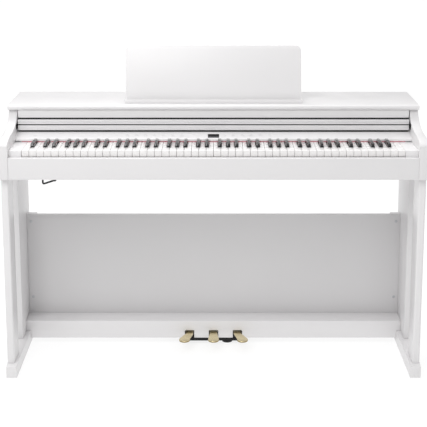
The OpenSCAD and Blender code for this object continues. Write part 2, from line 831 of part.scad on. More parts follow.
// Steel tray below the pedal board, with ears for the pedal shaft
module pedal_frame() {
    f = frame_half;
    t = 3;
    front = pedal_front + 3;
    rear = back_front - 2;
    color(black) placed() difference() {
        union() {
            box([-f, front, frame_z], [f, rear, frame_z + t]);
            box([-f, front, frame_z - 3], [f, front + t, pedal_board_z]);
            for (s = [-1, 1]) box([s * f - (s > 0 ? t : 0), pedal_front + pedal_board_t + 1, frame_z],
                [s * f + (s > 0 ? 0 : t), rear, pedal_top - pedal_board_t]);
            for (i = [-1:1], s = [-1, 1]) {
                x = i * pedal_pitch + s * (hub_w / 2 + 1 + ear_t / 2) - ear_t / 2;
                box([x, pedal_y - 12, frame_z], [x + ear_t, pedal_y + 12, pedal_z + 10]);
            }
        }
        rod_x(-f - 1, f + 1, pedal_y, pedal_z, pedal_rod_r);
        translate([adjuster_x, adjuster_y, frame_z - 1]) cylinder(r = stem_r + run_fit, h = t + 2);
    }
}
module pedal_shaft() {
    color(steel) placed() rod_x(-frame_half, frame_half, pedal_y, pedal_z, pedal_rod_r);
}
// Pedal i, counted from -1 on the left to 1 on the right
module pedal(i) {
    n = pedal_neck_w / 2;
    dx = i * pedal_bend;
    bend_y = pedal_front - 15;
    color(brassy) placed() translate([i * pedal_pitch, 0, 0]) difference() {
        union() {
            translate([0, 0, pedal_z - pedal_t / 2]) linear_extrude(pedal_t) union() {
                polygon([[-hub_w / 2, pedal_y], [-hub_w / 2, pedal_y - 14], [-n, pedal_y - 20],
                    [-n, bend_y], [dx - tip_r, tip_y + 8], [dx - tip_r, tip_y], [dx + tip_r, tip_y],
                    [dx + tip_r, tip_y + 8], [n, bend_y], [n, pedal_y - 20],
                    [hub_w / 2, pedal_y - 14], [hub_w / 2, pedal_y]]);
                translate([dx, tip_y]) circle(r = tip_r);
            }
            rod_x(-hub_w / 2, hub_w / 2, pedal_y, pedal_z, hub_r);
        }
        rod_x(-hub_w, hub_w, pedal_y, pedal_z, pedal_rod_r + run_fit);
    }
}
module pedal_left() { pedal(-1); }
module pedal_middle() { pedal(0); }
module pedal_right() { pedal(1); }
// Screw foot that props the pedal board on the floor
module height_adjuster() {
    color(black) placed() translate([adjuster_x, adjuster_y, 0]) {
        cylinder(r = adjuster_r, h = 6);
        translate([0, 0, 5]) cylinder(r = stem_r, h = pedal_top - pedal_board_t - 15);
    }
}

glide_pads();
foot_left();
foot_right();
leg_left();
leg_right();
side_board_left();
side_board_right();
back_panel();
panel_cleats();
pedal_board();
pedal_frame();
pedal_shaft();
pedal_left();
pedal_middle();
pedal_right();
height_adjuster();
keybed();
arm_left();
arm_right();
keyslip();
key_blocks();
top_board();
fascia();
rear_board();
control_panel();
display_window();
function_buttons();
power_button();
control_circuit();
main_circuit();
speaker_drivers();
speaker_grilles();
key_frame();
key_pivot_rail();
key_felts();
contact_strip();
hammers();
headphone_box();
headphone_hook();
lid_panel();
lid_front_bar();
lid_rails();
lid_shaft();
music_rest();
rest_ledge();
rest_stay();
rest_hinges();
assembly_screws();
key_c();
key_c_sharp();
key_d();
key_d_sharp();
key_e();
key_f();
key_f_sharp();
key_g();
key_g_sharp();
key_a();
key_a_sharp();
key_b();
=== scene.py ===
import json
import math

import bpy
from bpy.props import FloatProperty, FloatVectorProperty, IntProperty, PointerProperty
from mathutils import Matrix, Vector


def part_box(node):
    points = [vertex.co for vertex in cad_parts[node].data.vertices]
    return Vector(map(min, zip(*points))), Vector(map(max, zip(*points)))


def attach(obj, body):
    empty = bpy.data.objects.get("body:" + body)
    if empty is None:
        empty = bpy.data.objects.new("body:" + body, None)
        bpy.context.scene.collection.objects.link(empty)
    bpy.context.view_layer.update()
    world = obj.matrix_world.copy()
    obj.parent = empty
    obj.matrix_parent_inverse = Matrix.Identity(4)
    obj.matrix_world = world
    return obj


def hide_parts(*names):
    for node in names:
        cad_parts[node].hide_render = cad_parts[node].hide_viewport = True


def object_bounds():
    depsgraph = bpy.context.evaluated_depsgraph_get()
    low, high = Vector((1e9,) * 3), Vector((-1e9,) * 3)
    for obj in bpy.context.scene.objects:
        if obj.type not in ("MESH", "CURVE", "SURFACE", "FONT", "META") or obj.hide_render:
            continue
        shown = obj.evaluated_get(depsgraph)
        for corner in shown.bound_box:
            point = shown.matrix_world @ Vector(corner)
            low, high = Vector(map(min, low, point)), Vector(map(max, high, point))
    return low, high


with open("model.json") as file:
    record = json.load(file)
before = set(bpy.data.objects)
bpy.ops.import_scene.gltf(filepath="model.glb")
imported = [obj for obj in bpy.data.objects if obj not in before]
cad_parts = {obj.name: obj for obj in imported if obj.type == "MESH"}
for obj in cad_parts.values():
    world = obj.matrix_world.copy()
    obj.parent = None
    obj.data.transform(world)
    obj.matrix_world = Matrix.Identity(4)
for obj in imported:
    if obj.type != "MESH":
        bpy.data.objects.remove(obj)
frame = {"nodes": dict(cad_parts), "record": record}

bl_info = {
    "name": "Digital piano on stand",
    "version": (1, 0, 0),
    "blender": (4, 5, 0),
    "location": "View3D > Sidebar > Piano",
    "description": "Finishes and fine pieces of a digital piano on a panelled stand",
    "category": "Object",
}

MM = 0.001
GROOVE_DEPTH = 6 * MM  # of the deep groove along the cover's bar
KNOB_THICK = 6 * MM  # of the height adjuster's knob
COLLAR_RADIUS = 9 * MM  # of the collar over the knob
STEM_RADIUS = 4.95 * MM  # of the adjuster's stem, over its thread
BUTTON_STEP = 15 * MM  # less than this apart, two corners are of one button
RECORD = frame["record"]
BODY_OF = {n: b for b, ns in RECORD["behaviour"]["bodies"].items() for n in ns}
SLOT_OF = {s["node"]: s["material_slot"] for s in RECORD["subparts"]}
CAD_LOW, CAD_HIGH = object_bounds()


# ---------------------------------------------------------------- shader maths
class Value:
    """A number that varies over a surface. Arithmetic on it adds Math nodes."""

    def __init__(self, finish, socket):
        self.finish = finish
        self.socket = socket

    def _math(self, operation, *values, clamp=False):
        settings = {"operation": operation, "use_clamp": clamp}
        return self.finish.node("ShaderNodeMath", settings, dict(enumerate(values)))

    def __add__(self, other):
        return self._math("ADD", self, other)

    def __sub__(self, other):
        return self._math("SUBTRACT", self, other)

    def __rsub__(self, other):
        return self._math("SUBTRACT", other, self)

    def __mul__(self, other):
        return self._math("MULTIPLY", self, other)

    def __gt__(self, other):
        return self._math("GREATER_THAN", self, other)

    __radd__ = __add__
    __rmul__ = __mul__

    def clamped(self):
        return self._math("ADD", self, 0.0, clamp=True)


class Finish:
    """A material, or the world whose node tree is given, built node by node."""

    def __init__(self, name, tree=None):
        if tree is None:
            self.material = bpy.data.materials.new(name)
            self.material.use_nodes = True
            tree = self.material.node_tree
        self.tree = tree
        self.tree.nodes.clear()

    def node(self, kind, settings=None, inputs=None, output=0):
        made = self.tree.nodes.new(kind)
        for key, value in (settings or {}).items():
            setattr(made, key, value)
        for key, value in (inputs or {}).items():
            if isinstance(value, Value):
                self.tree.links.new(value.socket, made.inputs[key])
            else:
                made.inputs[key].default_value = value
        return None if output is None else Value(self, made.outputs[output])

    def place(self, scale=(1, 1, 1), turn=(0, 0, 0), offset=(0, 0, 0)):
        """Object coordinates, scaled, turned and moved."""
        where = self.node("ShaderNodeTexCoord", output="Object")
        inputs = {"Vector": where, "Scale": scale, "Rotation": turn, "Location": offset}
        return self.node("ShaderNodeMapping", {}, inputs)

    def noise(self, scale, detail=2.0, roughness=0.5, stretch=(1, 1, 1)):
        """Soft noise from 0 to 1, scale counted per metre."""
        inputs = {"Vector": self.place(stretch), "Scale": scale}
        inputs.update({"Detail": detail, "Roughness": roughness})
        return self.node("ShaderNodeTexNoise", {}, inputs)

    def cells(self, scale):
        """Distance to the nearest of scattered points."""
        inputs = {"Vector": self.place(), "Scale": scale}
        return self.node("ShaderNodeTexVoronoi", {}, inputs)

    def axis(self, name):
        """One object coordinate."""
        inputs = {"Vector": self.place()}
        return self.node("ShaderNodeSeparateXYZ", {}, inputs, output=name)

    def blend(self, share, low, high):
        """Colour low where share is 0 and high where it is 1."""
        settings = {"data_type": "RGBA"}
        colours = [v if isinstance(v, Value) else (*v, 1.0) for v in (low, high)]
        inputs = {0: share, 6: colours[0], 7: colours[1]}
        return self.node("ShaderNodeMix", settings, inputs, output=2)

    def bump(self, height, depth, strength=1.0):
        inputs = {"Height": height, "Distance": depth, "Strength": strength}
        return self.node("ShaderNodeBump", {}, inputs)

    def done(self, **inputs):
        """Ends the material with one Principled shader, and returns the material."""
        named = {k.replace("_", " "): v for k, v in inputs.items()}
        shader = self.node("ShaderNodeBsdfPrincipled", {}, named)
        self.node("ShaderNodeOutputMaterial", {}, {"Surface": shader}, output=None)
        return self.material


# ------------------------------------------------------------------- finishes
def white_lacquer(name, colour, roughness):
    """Satin lacquer over fibreboard: soft mottling, fine orange peel and faint handling marks."""
    f = Finish(name)
    mottle = f.noise(3.2, 3.0)
    peel = f.noise(620.0, 2.0)
    rubbed = f.noise(14.0, 4.0, 0.62)
    low = [c * 0.965 for c in colour]
    high = [min(c * 1.02, 1.0) for c in colour]
    height = peel + rubbed * 0.4
    return f.done(
        Base_Color=f.blend(mottle, low, high),
        Roughness=(rubbed - 0.5) * 0.16 + roughness,
        Normal=f.bump(height, 0.00012, 0.30),
    )


def key_plastic(name, colour):
    """Semi-gloss moulded key tops, with fine lengthwise grain and finger sheen in front."""
    f = Finish(name)
    grain = f.noise(900.0, 2.0, 0.6, (1.0, 0.06, 1.0))
    cloud = f.noise(22.0, 2.0)
    touched = f.noise(60.0, 3.0)
    low = [c * 0.97 for c in colour]
    return f.done(
        Base_Color=f.blend(cloud, low, colour),
        Roughness=touched * 0.14 + 0.20,
        Normal=f.bump(grain, 0.00006, 0.25),
        Coat_Weight=0.25,
        Coat_Roughness=0.12,
    )


def ebony_plastic(name, colour):
    """Polished black key tops with a fine lengthwise grain."""
    f = Finish(name)
    grain = f.noise(1400.0, 3.0, 0.65, (1.0, 0.05, 1.0))
    pale = [c * 1.6 + 0.003 for c in colour]
    return f.done(
        Base_Color=f.blend((grain - 0.45).clamped() * 1.6, colour, pale),
        Roughness=grain * 0.10 + 0.10,
        Normal=f.bump(grain, 0.00002, 0.2),
        Coat_Weight=0.35,
        Coat_Roughness=0.04,
    )


def moulded_plastic(name, colour, roughness, pitch=1900.0):
    """Moulded plastic with a spark-eroded texture."""
    f = Finish(name)
    pores = f.cells(pitch)
    patch = f.noise(9.0, 2.0)
    low = [c * 0.93 for c in colour]
    return f.done(
        Base_Color=f.blend(patch, low, colour),
        Roughness=patch * 0.12 + roughness,
        Normal=f.bump(pores, 0.00008, 0.35),
    )


def powder_coat(name, colour):
    """Powder-coated steel: a pebbled skin with an even sheen."""
    f = Finish(name)
    pebble = f.noise(1100.0, 2.0, 0.55)
    patch = f.noise(18.0, 3.0)
    pale = [c * 1.5 + 0.004 for c in colour]
    return f.done(
        Base_Color=f.blend(patch * 0.6, colour, pale),
        Roughness=pebble * 0.2 + 0.38,
        Normal=f.bump(pebble, 0.00012, 0.5),
        Specular_IOR_Level=0.25,
    )


def plated_steel(name, colour, lengthwise=(0.04, 1.0, 1.0)):
    """Zinc-plated steel with drawing lines."""
    f = Finish(name)
    lines = f.noise(1600.0, 2.0, 0.6, lengthwise)
    bloom = f.noise(30.0, 3.0)
    low = [c * 0.82 for c in colour]
    return f.done(
        Base_Color=f.blend(bloom, low, colour),
        Metallic=1.0,
        Roughness=bloom * 0.14 + lines * 0.08 + 0.20,
        Normal=f.bump(lines, 0.00004, 0.3),
    )


def polished_brass(name, colour):
    """Pale brass: fine wiping marks, a duller patch where the foot rubs, and painted shade on every
    face that doesn't face up.
    """
    f = Finish(name)
    facing = f.node("ShaderNodeNewGeometry", output="Normal")
    up = f.node("ShaderNodeSeparateXYZ", {}, {"Vector": facing}, output="Z")
    # faces that don't face up blend to a darker brass: painted shade on the sides
    side = ((0.8 - up) * 1.6).clamped()
    wipes = f.noise(2200.0, 2.0, 0.6, (1.0, 0.08, 1.0))
    smudge = f.noise(55.0, 4.0, 0.6)
    low = [c * 0.84 for c in colour]
    # the darker brass for the sides: painted shade
    painted_side_shade = [c * t for c, t in zip(colour, (0.42, 0.38, 0.28))]
    return f.done(
        Base_Color=f.blend(side, f.blend(smudge, colour, low), painted_side_shade),
        Metallic=1.0,
        Roughness=smudge * 0.20 + 0.13,
        Normal=f.bump(wipes, 0.00003, 0.3),
    )


def wool_felt(name, colour, sheen=0.5):
    """Pressed felt: matted fibres and a soft sheen."""
    f = Finish(name)
    fibre = f.noise(2600.0, 4.0, 0.7, (1.0, 0.5, 1.0))
    clump = f.noise(260.0, 3.0)
    pale = [c * 1.6 + 0.01 for c in colour]
    return f.done(
        Base_Color=f.blend(fibre * 0.6 + clump * 0.3, colour, pale),
        Roughness=0.95,
        Sheen_Weight=sheen,
        Normal=f.bump(fibre + clump, 0.0003, 0.7),
    )


def circuit_green(name, colour):
    """Solder mask with the tracks showing through."""
    f = Finish(name)
    settings = {"offset": 0.5}
    inputs = {"Vector": f.place(), "Scale": 120.0, "Mortar Size": 0.09}
    tracks = f.node("ShaderNodeTexBrick", settings, inputs, output="Fac")
    pale = [min(c * 1.7 + 0.02, 1.0) for c in colour]
    return f.done(
        Base_Color=f.blend(tracks, pale, colour),
        Roughness=tracks * 0.1 + 0.28,
        Normal=f.bump(tracks, 0.00005, 0.4),
    )


def split_window(name, middle, dark, pale):
    """Display window: a dark screen in its upper half, a grey legend strip in its lower half."""
    f = Finish(name)
    upper = f.axis("Z") > middle
    dust = f.noise(300.0, 3.0)
    return f.done(
        Base_Color=f.blend(upper, pale, dark),
        Roughness=dust * 0.06 + upper * -0.10 + 0.34,
        IOR=1.35,
        Specular_IOR_Level=0.3,
    )


def plain_paint(name, colour, roughness):
    """Printed ink or thin paint, slightly uneven."""
    f = Finish(name)
    wear = f.noise(700.0, 3.0)
    low = [c * 0.85 for c in colour]
    return f.done(Base_Color=f.blend(wear, low, colour), Roughness=wear * 0.1 + roughness)


def pale_floor(name, colour, glow):
    """Studio floor, a smooth pale sheet lit from below."""
    f = Finish(name)
    cloud = f.noise(0.8, 2.0)
    low = [c * 0.995 for c in colour]
    return f.done(
        Base_Color=f.blend(cloud, low, colour),
        Roughness=0.9,
        Emission_Color=(1.0, 1.0, 1.0, 1.0),
        Emission_Strength=glow,
    )


def white_sky(name, low, high, left):
    """White surroundings: strength low at the horizon, high overhead, and left more at the left."""
    world = bpy.data.worlds.new(name)
    world.use_nodes = True
    f = Finish(name, world.node_tree)
    where = f.node("ShaderNodeTexCoord", output="Generated")
    up = f.node("ShaderNodeSeparateXYZ", {}, {"Vector": where}, output="Z").clamped()
    side = (f.node("ShaderNodeSeparateXYZ", {}, {"Vector": where}, output="X") * -1.0).clamped()
    strength = up * (high - low) + side * left + low
    shine = f.node("ShaderNodeBackground", {}, {"Strength": strength})
    f.node("ShaderNodeOutputWorld", {}, {"Surface": shine}, output=None)
    return world


FINISHES = {}


def finishes(slot):
    """The material of one of the record's slots, or of one of the extra finishes, made once."""
    if slot in FINISHES:
        return FINISHES[slot]
    case = bpy.context.scene.piano_case
    keys = bpy.context.scene.piano_keys
    low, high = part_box("display_window")
    makers = {
        "white_board": lambda: white_lacquer("white_board", case.board_colour, 0.33),
        # a darker copy of the board lacquer for the back panel and its cleats: painted shade
        "inner_board_painted_shade": lambda: white_lacquer(
            "inner_board_painted_shade", [c * case.inner_shade_share for c in case.board_colour], 0.42
        ),
        # a darker copy of the board lacquer for the arms, side boards and key slip: painted shade
        "outer_board_painted_shade": lambda: white_lacquer(
            "outer_board_painted_shade", [c * case.outer_shade_share for c in case.board_colour], 0.35
        ),
        "white_key": lambda: key_plastic("white_key", keys.white_colour),
        "black_key": lambda: ebony_plastic("black_key", keys.black_colour),
        "panel_plastic": lambda: moulded_plastic("panel_plastic", case.panel_colour, 0.36),
        "display": lambda: split_window(
            "display", low.z + (high.z - low.z) * 0.46, (0.003, 0.003, 0.004), (0.11, 0.11, 0.115)
        ),
        "pedal_brass": lambda: polished_brass("pedal_brass", case.brass_colour),
        "steel": lambda: plated_steel("steel", (0.62, 0.63, 0.65)),
        "black_metal": lambda: powder_coat("black_metal", (0.012, 0.012, 0.013)),
        "black_plastic": lambda: moulded_plastic("black_plastic", (0.020, 0.020, 0.022), 0.42),
        "circuit": lambda: circuit_green("circuit", (0.012, 0.075, 0.030)),
        "red_felt": lambda: wool_felt("red_felt", (0.50, 0.045, 0.095)),
        "legend_ink": lambda: plain_paint("legend_ink", (0.42, 0.42, 0.43), 0.5),
        # near-black felt with almost no sheen, used to paint shade in gaps and grooves
        "painted_shade_felt": lambda: wool_felt("painted_shade_felt", (0.004, 0.004, 0.004), 0.02),
    }
    FINISHES[slot] = makers[slot]()
    return FINISHES[slot]


# --------------------------------------------------------------- making pieces
def only(*objects):
    """Selects these objects alone, and makes the first one active."""
    if bpy.context.mode != "OBJECT":
        bpy.ops.object.mode_set(mode="OBJECT")
    bpy.ops.object.select_all(action="DESELECT")
    for o in objects:
        o.select_set(True)
    bpy.context.view_layer.objects.active = objects[0]


def named(obj, name):
    obj.name = name
    obj.data.name = name
    return obj


def placed(obj):
    """Puts the object's place into its mesh, so that it sits at the origin."""
    only(obj)
    bpy.ops.object.transform_apply(location=True, rotation=True, scale=True)
    return obj


def pick_faces(obj, wanted):
    """Enters edit mode with the faces selected that wanted(face) is true for."""
    only(obj)
    bpy.ops.object.mode_set(mode="EDIT")
    bpy.ops.mesh.select_mode(type="FACE")
    bpy.ops.mesh.select_all(action="DESELECT")
    bpy.ops.object.mode_set(mode="OBJECT")
    for face in obj.data.polygons:
        face.select = wanted(face)
    bpy.ops.object.mode_set(mode="EDIT")


def round_edges(obj, width, segments=3, angle=30.0, least=0.5 * MM):
    """Bevels every edge sharper than angle and longer than least, and smooths the shading."""
    only(obj)
    bpy.ops.object.mode_set(mode="EDIT")
    bpy.ops.mesh.select_mode(type="EDGE")
    bpy.ops.mesh.select_all(action="DESELECT")
    bpy.ops.mesh.edges_select_sharp(sharpness=math.radians(angle))
    bpy.ops.object.mode_set(mode="OBJECT")
    for edge in obj.data.edges:
        a, b = (obj.data.vertices[v].co for v in edge.vertices)
        if (a - b).length < least:
            edge.select = False
    bpy.ops.object.mode_set(mode="EDIT")
    bpy.ops.mesh.bevel(offset=width, segments=segments, clamp_overlap=False)
    bpy.ops.object.mode_set(mode="OBJECT")
    bpy.ops.object.shade_smooth_by_angle(angle=math.radians(angle))
    return obj


def cut_away(obj, cutter):
    """Takes cutter's shape out of obj, and deletes cutter."""
    only(obj)
    cut = obj.modifiers.new("cut", "BOOLEAN")
    cut.operation = "DIFFERENCE"
    cut.solver = "EXACT"
    cut.object = cutter
    bpy.ops.object.modifier_apply(modifier=cut.name)
    bpy.data.objects.remove(cutter)
    return obj


def joined(parts, name):
    """The parts as one object."""
    only(*parts)
    if len(parts) > 1:
        bpy.ops.object.join()
    return named(bpy.context.view_layer.objects.active, name)


def copies(source, places, name):
    """One mesh of copies of source, each moved by one of the matrices. The source is used up."""
    made = []
    for place in places:
        twin = bpy.data.objects.new(name, source.data.copy())
        bpy.context.scene.collection.objects.link(twin)
        twin.data.transform(place)
        if place.determinant() < 0:
            twin.data.flip_normals()
        made.append(twin)
    bpy.data.objects.remove(source)
    return joined(made, name)


def dressed(obj, body, slot, finish=None, *stands_for):
    """Gives a piece one finish (the slot's own finish unless another is named), puts it on its
    body, and hides the CAD nodes that it stands for.
    """
    obj.data.materials.clear()
    obj.data.materials.append(finishes(finish or slot))
    for face in obj.data.polygons:
        face.material_index = 0
    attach(obj, body)
    if stands_for:
        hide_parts(*stands_for)
    return obj


def refined(node, width, segments=3, angle=30.0, finish=None):
    """A clean piece with rounded edges, worked from a copy of a CAD node that it stands for."""
    piece = bpy.data.objects.new(node + "_piece", frame["nodes"][node].data.copy())
    bpy.context.scene.collection.objects.link(piece)
    only(piece)
    bpy.ops.object.mode_set(mode="EDIT")
    bpy.ops.mesh.select_all(action="SELECT")
    bpy.ops.mesh.remove_doubles(threshold=0.00001)
    bpy.ops.mesh.dissolve_limited(angle_limit=math.radians(0.4))
    bpy.ops.object.mode_set(mode="OBJECT")
    if width:
        round_edges(piece, width, segments, angle)
    else:
        bpy.ops.object.shade_smooth_by_angle(angle=math.radians(angle))
    named(piece, node + "_piece")
    return dressed(piece, BODY_OF[node], SLOT_OF[node], finish, node)


def coated(node, finish=None):
    """A CAD node that stays as it is, with its finish."""
    obj = frame["nodes"][node]
    obj.data.materials.clear()
    obj.data.materials.append(finishes(finish or SLOT_OF[node]))
    for face in obj.data.polygons:
        face.material_index = 0
    return obj


def block(low, high):
    """A box from corner to corner, in place."""
    low, high = Vector(low), Vector(high)
    bpy.ops.object.select_all(action="DESELECT")
    bpy.ops.mesh.primitive_cube_add(size=1.0, location=(low + high) / 2)
    box = bpy.context.active_object
    box.scale = high - low
    return placed(box)


def drum(radius, height, centre, turn=(0.0, 0.0, 0.0), vertices=32):
    """A cylinder in place, its axis turned from Z."""
    bpy.ops.object.select_all(action="DESELECT")
    bpy.ops.mesh.primitive_cylinder_add(
        vertices=vertices, radius=radius, depth=height, location=centre, rotation=turn
    )
    return placed(bpy.context.active_object)


def wire(points, radius, bend, name):
    """A round rod through the points, its corners bent to a radius, with rounded ends."""
    curve = bpy.data.curves.new(name, "CURVE")
    curve.dimensions = "3D"
    curve.bevel_depth = radius
    curve.bevel_resolution = 5
    curve.use_fill_caps = True
    line = curve.splines.new("POLY")
    route = bent(points, bend)
    line.points.add(len(route) - 1)
    for spot, p in zip(line.points, route):
        spot.co = (*p, 1.0)
    rod = bpy.data.objects.new(name, curve)
    bpy.context.scene.collection.objects.link(rod)
    only(rod)
    bpy.ops.object.convert(target="MESH")
    return round_edges(bpy.context.active_object, radius * 0.4, 3, 50.0)


def bent(points, bend):
    """The points with each corner replaced by an arc of about the given radius."""
    points = [Vector(p) for p in points]
    route = [points[0]]
    for before, corner, after in zip(points, points[1:], points[2:]):
        a = corner + (before - corner).normalized() * bend
        b = corner + (after - corner).normalized() * bend
        for step in range(9):
            t = step / 8
            route.append(a * (1 - t) ** 2 + corner * 2 * t * (1 - t) + b * t**2)
    route.append(points[-1])
    return route


# -------------------------------------------------------------------- settings
def length(name, description, default):
    return FloatProperty(
        name=name, description=description, default=default, unit="LENGTH", precision=4
    )


def tint(name, description, default):
    return FloatVectorProperty(
        name=name, description=description, default=default, subtype="COLOR"
    )


def amount(name, description, default):
    return FloatProperty(name=name, description=description, default=default)


class PianoCase(bpy.types.PropertyGroup):
    board_colour: tint("Boards", "Colour of the lacquered boards", (0.775, 0.765, 0.77))
    # this share darkens the lacquer of the back panel and its cleats: painted shade
    inner_shade_share: amount("Inner boards", "Lightness of the back panel", 0.86)
    # this share darkens the lacquer of the arms, key slip and side boards: painted shade
    outer_shade_share: amount("Outer boards", "Lightness of the arms, key slip and side boards", 0.94)
    panel_colour: tint("Panel", "Colour of the moulded control panel", (0.80, 0.79, 0.795))
    brass_colour: tint("Pedals", "Colour of the plated pedals", (0.88, 0.77, 0.50))
    board_round: length("Board edges", "Radius of the boards' edges", 1.2 * MM)
    panel_round: length("Panel edges", "Radius of the control panel's edges", 0.7 * MM)
    button_round: length("Button edges", "Radius of the buttons' edges", 0.35 * MM)
    legend_size: length("Legend width", "Width of the marks behind the buttons", 7 * MM)


class PianoKeys(bpy.types.PropertyGroup):
    white_colour: tint("White keys", "Colour of the white keys", (0.83, 0.815, 0.81))
    black_colour: tint("Black keys", "Colour of the black keys", (0.012, 0.012, 0.013))
    white_round: length("White key edges", "Radius of the white keys' edges", 0.7 * MM)
    black_round: length("Black key edges", "Radius of the black keys' edges", 1.3 * MM)


class PianoHardware(bpy.types.PropertyGroup):
    pedal_round: length("Pedal edges", "Radius of the pedals' edges", 2.3 * MM)
    recess: length("Screw recess", "Depth of the cross in the screw heads", 1.1 * MM)
    thread_pitch: length("Thread pitch", "Pitch of the adjuster's thread", 2.0 * MM)
    knob_ribs: IntProperty(name="Knob ribs", description="Grip ribs round the adjuster", default=28)
    screw_head: length("Screw head", "Radius of the screw heads", 5 * MM)
    screw_shank: length("Screw shank", "Radius of the screws", 2.5 * MM)
    stay_wire: length("Stay wire", "Radius of the rest's wire stay", 1.5 * MM)
    hook_wire: length("Hook wire", "Radius of the headphone hook's rod", 3 * MM)
    hook_flange: length("Hook flange", "Radius of the flange over the hook", 9 * MM)
    hook_reach: length("Hook reach", "Length of the hook's arm, measured level", 43 * MM)
    hook_rise: length("Hook rise", "Rise of the hook's arm", 14 * MM)
    jack_depth: length("Jack depth", "Depth of the jacks below the top of their box", 11 * MM)
    jack_inset: length("Jack inset", "Distance of the jacks from the ends of their box", 20 * MM)
    wire_bend: length("Wire bend", "Radius of the bends in the wire parts", 4.5 * MM)


class PianoStage(bpy.types.PropertyGroup):
    floor_colour: tint("Floor", "Colour of the floor", (0.20, 0.20, 0.20))
    glow: amount("Glow", "Light given off by the floor", 0.82)
    horizon: amount("Horizon", "Strength of the sky low down", 0.12)
    zenith: amount("Zenith", "Strength of the sky overhead", 1.45)
    left: amount("Left", "Added strength of the sky at the left", 0.05)
    key_power: amount("Front light", "Power of the light in front", 44.0)
    top_power: amount("Top light", "Power of the light overhead", 34.0)
    lens: amount("Lens", "Focal length in millimetres", 100.04)
    pitch: FloatProperty(
        name="Pitch",
        description="Angle the camera looks down by",
        default=math.radians(11.896),
        subtype="ANGLE",
    )
    shift: amount("Shift", "Vertical shift of the lens", -0.18)
    distance: length("Distance", "Distance of the camera in front of the middle", 3.8896)
    height: length("Height", "Height of the camera", 1.5871)


# ------------------------------------------------------------------- operators
class Build(bpy.types.Operator):
    """Base of the operators that make pieces"""

    bl_options = {"REGISTER", "UNDO"}

    def execute(self, context):
        self.make(context.scene)
        return {"FINISHED"}


class PIANO_OT_boards(Build):
    """Finish the lacquered boards of the case and the stand"""

    bl_idname = "piano.boards"
    bl_label = "Case and stand boards"

    def make(self, scene):
        width = scene.piano_case.board_round
        for node in (
            "arm_left", "arm_right", "top_board", "fascia", "rear_board", "keybed", "keyslip",
            "key_blocks", "leg_left", "leg_right", "foot_left", "foot_right", "side_board_left",
            "side_board_right", "back_panel", "panel_cleats", "pedal_board",
        ):
            finish = None
            # the back panel and its cleats take a darker copy of the lacquer: painted shade
            if node in ("back_panel", "panel_cleats"):
                finish = "inner_board_painted_shade"
            # the arms, side boards and key slip take a darker copy of the lacquer: painted shade
            elif node.startswith(("arm_", "side_board_", "keyslip")):
                finish = "outer_board_painted_shade"
            refined(node, width, finish=finish)


class PIANO_OT_keys(Build):
    """Round the keys and finish them"""

    bl_idname = "piano.keys"
    bl_label = "Keys"

    def make(self, scene):
        keys = scene.piano_keys
        for body in [b for b in RECORD["behaviour"]["bodies"] if b.startswith("key_")]:
            for node in RECORD["behaviour"]["bodies"][body]:
                sharp = node.endswith("_sharp")
                refined(node, keys.black_round if sharp else keys.white_round, 3)


class PIANO_OT_action(Build):
    """Finish the key chassis, hammers, felts and contacts"""

    bl_idname = "piano.action"
    bl_label = "Key action"

    def make(self, scene):
        for node in ("key_frame", "key_pivot_rail", "contact_strip", "hammers"):
            coated(node)
        refined("key_felts", 0.4 * MM, 2)
        self.dust_strips_painted_shade()

    def dust_strips_painted_shade(self):
        """Felt dust strips behind the gap over the cover's bar and on the shelf below the bar, near
        black with little sheen: painted shade that darkens the gap lines.
        """
        bar_low, bar_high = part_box("lid_front_bar")
        panel_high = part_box("control_panel")[1]
        fascia_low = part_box("fascia")[0]
        gap, felt, lap = 1.5 * MM, 2.0 * MM, 8 * MM
        x, y = bar_high.x - 1 * MM, bar_high.y
        hung = block((-x, y + gap, bar_high.z - lap), (x, y + gap + felt, fascia_low.z))
        flat = block(
            (-x, bar_low.y + 1 * MM, panel_high.z), (x, y + 4 * MM, panel_high.z + 0.6 * MM)
        )
        strips = round_edges(joined([hung, flat], "dust_strips_painted_shade"), 0.25 * MM, 2)
        # near-black finish on the strips in place of the red felt: painted shade for the gap lines
        dressed(strips, "case", "red_felt", "painted_shade_felt")


class PIANO_OT_cover(Build):
    """Finish the sliding cover, its front bar, its rails and its shaft"""

    bl_idname = "piano.cover"
    bl_label = "Key cover"

    def make(self, scene):
        width = scene.piano_case.board_round
        refined("lid_panel", width)
        refined("lid_front_bar", width * 0.4)
        self.seam()
        refined("lid_rails", 0.3 * MM, 2)
        refined("lid_shaft", 0.4 * MM, 2, 40.0)

    def seam(self):
        """Near-black strip at the bottom of the deep groove along the cover's bar: painted shade
        that darkens the groove's line.
        """
        low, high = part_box("lid_front_bar")
        bottom = low.y + GROOVE_DEPTH
        walls = [
            v.co.z
            for v in frame["nodes"]["lid_front_bar"].data.vertices
            if abs(v.co.y - bottom) < 0.4 * MM
        ]
        thick, free = 1.3 * MM, 0.1 * MM
        strip = block(
            (low.x + 1 * MM, bottom - free - thick, min(walls) + free),
            (high.x - 1 * MM, bottom - free, max(walls) - free),
        )
        round_edges(named(strip, "bar_groove_shade"), 0.2 * MM, 2)
        # near-black finish on the strip: painted shade in the groove
        dressed(strip, BODY_OF["lid_front_bar"], "black_plastic", "painted_shade_felt")


def panel_top():
    """A point on the control panel's sloping top, and its normal, from the display window."""
    faces = [f for f in frame["nodes"]["display_window"].data.polygons if f.normal.z > 0.5]
    face = max(faces, key=lambda f: f.area)
    return face.center.copy(), face.normal.copy()


def button_middles():
    """The middle of each function button, across the panel."""
    xs = sorted(v.co.x for v in frame["nodes"]["function_buttons"].data.vertices)
    groups = [[xs[0]]]
    for x in xs[1:]:
        if x - groups[-1][0] > BUTTON_STEP:
            groups.append([])
        groups[-1].append(x)
    return [(g[0] + g[-1]) / 2 for g in groups]


